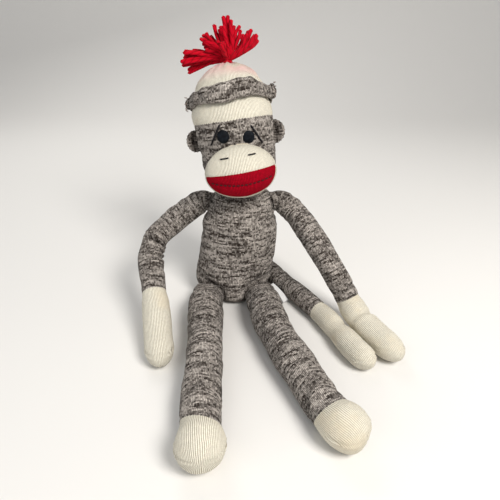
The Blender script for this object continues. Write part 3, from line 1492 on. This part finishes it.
# Cut yarn that fans from the knot in tufts
def pompomStrands():
    strands = []
    root = Vector((0, 0, hatLook["height"] * hatLook["top"] + pompomLook["knot"] / 2 + 0.0003))
    hatTurn = hatMatrix.to_3x3()
    for count, left, front, spread, long, bow in pompomLook["tufts"]:
        curl = Vector((bow[0], dice.uniform(-1, 1) * 0.002, bow[1]))
        for index in range(count):
            lean = math.radians(left + dice.uniform(-1, 1) * spread[0])
            tip = math.radians(front + dice.uniform(-1, 1) * spread[1])
            heading = Vector((-math.sin(lean) * math.cos(tip), -math.sin(tip),
                              math.cos(lean) * math.cos(tip)))
            start = root + Vector((heading.x, heading.y, heading.z * 0.4)) * 0.0036
            start -= heading * 0.002
            length = pompomLook["length"] * long * dice.uniform(0.86, 1.03)
            bend = curl + Vector([dice.uniform(-1, 1) for axis in range(3)]) * 0.0022
            sway = Vector([dice.uniform(-1, 1) for axis in range(3)]) * 0.0010
            points = []
            for step in range(31):
                t = step / 30
                spot = hatMatrix @ (start + heading * (length * t))
                spot += Vector((0, 0, -pompomLook["droop"] * length * t * t))
                spot += hatTurn @ (bend * math.sin(math.pi * t * 0.9)
                                   + sway * math.sin(math.tau * t))
                points.append(spot)
            size = pompomLook["radius"] * dice.uniform(0.9, 1.12)

            def radiusAt(t, size=size):
                swell = size * (0.80 + 0.20 * min(t * 4, 1)) * (1 + 0.5 * max(t - 0.8, 0))
                end = min((1 - t) / 0.045, 1)
                shut = math.sqrt(max(1 - (1 - end) ** 2, 0))
                return swell * (shut if t > 0.02 else t / 0.02)
            strands.append((points, radiusAt, 14, 3, pompomLook["plyPitch"], 0.07))
    return strands


tieLook = {"turns": 2.1, "reach": 0.0052, "waver": 0.0003, "start": 0.0006, "climb": 0.0021,
           "radius": 0.0010}


# Yarn wound twice round the root of the pompom
def tieStrands():
    points = []
    for step in range(61):
        t = step / 60
        turn = math.tau * tieLook["turns"] * t
        reach = tieLook["reach"] + tieLook["waver"] * math.sin(turn * 3)
        level = hatLook["height"] * hatLook["top"] + tieLook["start"] + tieLook["climb"] * t
        spot = Vector((math.cos(turn) * reach, math.sin(turn) * reach, level))
        points.append(hatMatrix @ spot)
    return [(points, roundEnds(tieLook["radius"], 0.03), 10, 2, plyPitch["tie"], 0.18)]


pompom = yarnObject("pompomYarns", pompomStrands() + tieStrands(),
                    yarns["pompomYarn"])
register(pompom, "head", ["pompom"])
print("pompom made")

# Sewn tag

tagLook = {
    "root": (0.0440, -0.0125, 0.0158), "end": (0.0612, -0.0288, 0.0036), "width": 0.0088,
    "gap": 0.0016, "bow": 0.0022, "thick": 0.00028, "turnFrom": 0.46, "turnTo": 0.54,
}


# A blank loop of tape, folded back on itself, by the viewer's-right hip
def makeTag():
    root, end = Vector(tagLook["root"]), Vector(tagLook["end"])
    along = (end - root).normalized()
    across = along.cross(Vector((0, 0, 1))).normalized()
    off = across.cross(along).normalized()
    length = (end - root).length

    near, far, half = tagLook["turnFrom"], tagLook["turnTo"], tagLook["gap"] / 2

    def place(column, mark):
        run = mark / near if mark < near else (1 - mark) / near
        if mark < near or mark > far:
            spot = root + along * (length * run) + off * (half if mark < near else -half)
        else:
            turn = (mark - near) / 0.08 * math.pi
            run = 1.0
            spot = root + along * (length + half * math.sin(turn)) + off * (half * math.cos(turn))
        spot += across * ((column - 0.5) * tagLook["width"])
        spot += off * (tagLook["bow"] * math.sin(math.pi * min(run, 1)) * (0.6 + 0.8 * column))
        return settle(spot, 0.001)

    marks = (evenMarks(0.0, near, 0.04) + evenMarks(near, far, 0.01)[1:]
             + evenMarks(far, 1.0, 0.04)[1:])
    tag = sheetObject("sewnTag", 16, marks, place, plainCounts(4, 8), whiteTape)
    wall = tag.modifiers.new("wall", "SOLIDIFY")
    wall.thickness = tagLook["thick"]
    wall.offset = 0.0
    register(tag, "leg_right", ["sewn_tag"])


makeTag()

# Stage

# A pale floor that curves up behind the doll
def makeFloor():
    build, layer = newBuild()
    bend, start = stageLook["bend"], stageLook["bendAt"]
    arc = bend * math.pi / 2

    def place(column, mark):
        x = (column - 0.5) * stageLook["wide"]
        if mark < start:
            return Vector((x, mark, 0))
        if mark < start + arc:
            turn = (mark - start) / bend
            return Vector((x, start + bend * math.sin(turn), bend * (1 - math.cos(turn))))
        return Vector((x, start + bend, bend + mark - start - arc))

    marks = evenMarks(stageLook["near"], start + arc + stageLook["top"], 0.1)
    addSheet(build, layer, 8, marks, place, plainCounts(1, 1))
    paint = Shade("paleFloor", 0.9)
    paint.shader.inputs["Base Color"].default_value = (*stageLook["floor"], 1.0)
    linkMesh(build, "floor", paint.material)


def makeLamp(name, look):
    lamp = bpy.data.lights.new(name, "AREA")
    lamp.energy, lamp.size, lamp.color = look["power"], look["size"], look["colour"]
    item = bpy.data.objects.new(name, lamp)
    item.location = look["place"]
    aim = Vector(stageLook["aim"]) - Vector(look["place"])
    item.rotation_euler = aim.to_track_quat("-Z", "Y").to_euler()
    scene.collection.objects.link(item)


def makeWorld():
    world = bpy.data.worlds.new("softWorld")
    world.use_nodes = True
    shader = world.node_tree.nodes["Background"]
    shader.inputs["Color"].default_value = (1.0, 1.0, 1.0, 1.0)
    shader.inputs["Strength"].default_value = stageLook["world"]
    scene.world = world


def makeCamera():
    camera = bpy.data.cameras.new("camera")
    camera.lens, camera.sensor_width, camera.clip_start = stageLook["lens"], 36.0, 0.01
    item = bpy.data.objects.new("camera", camera)
    item.location = stageLook["camera"]
    item.rotation_euler = (math.radians(90 - stageLook["down"]), 0, 0)
    scene.collection.objects.link(item)
    scene.camera = item


makeFloor()
for name, look in lighting.items():
    makeLamp(name, look)
makeWorld()
makeCamera()
scene.view_settings.view_transform = "Standard"
print("stage made")
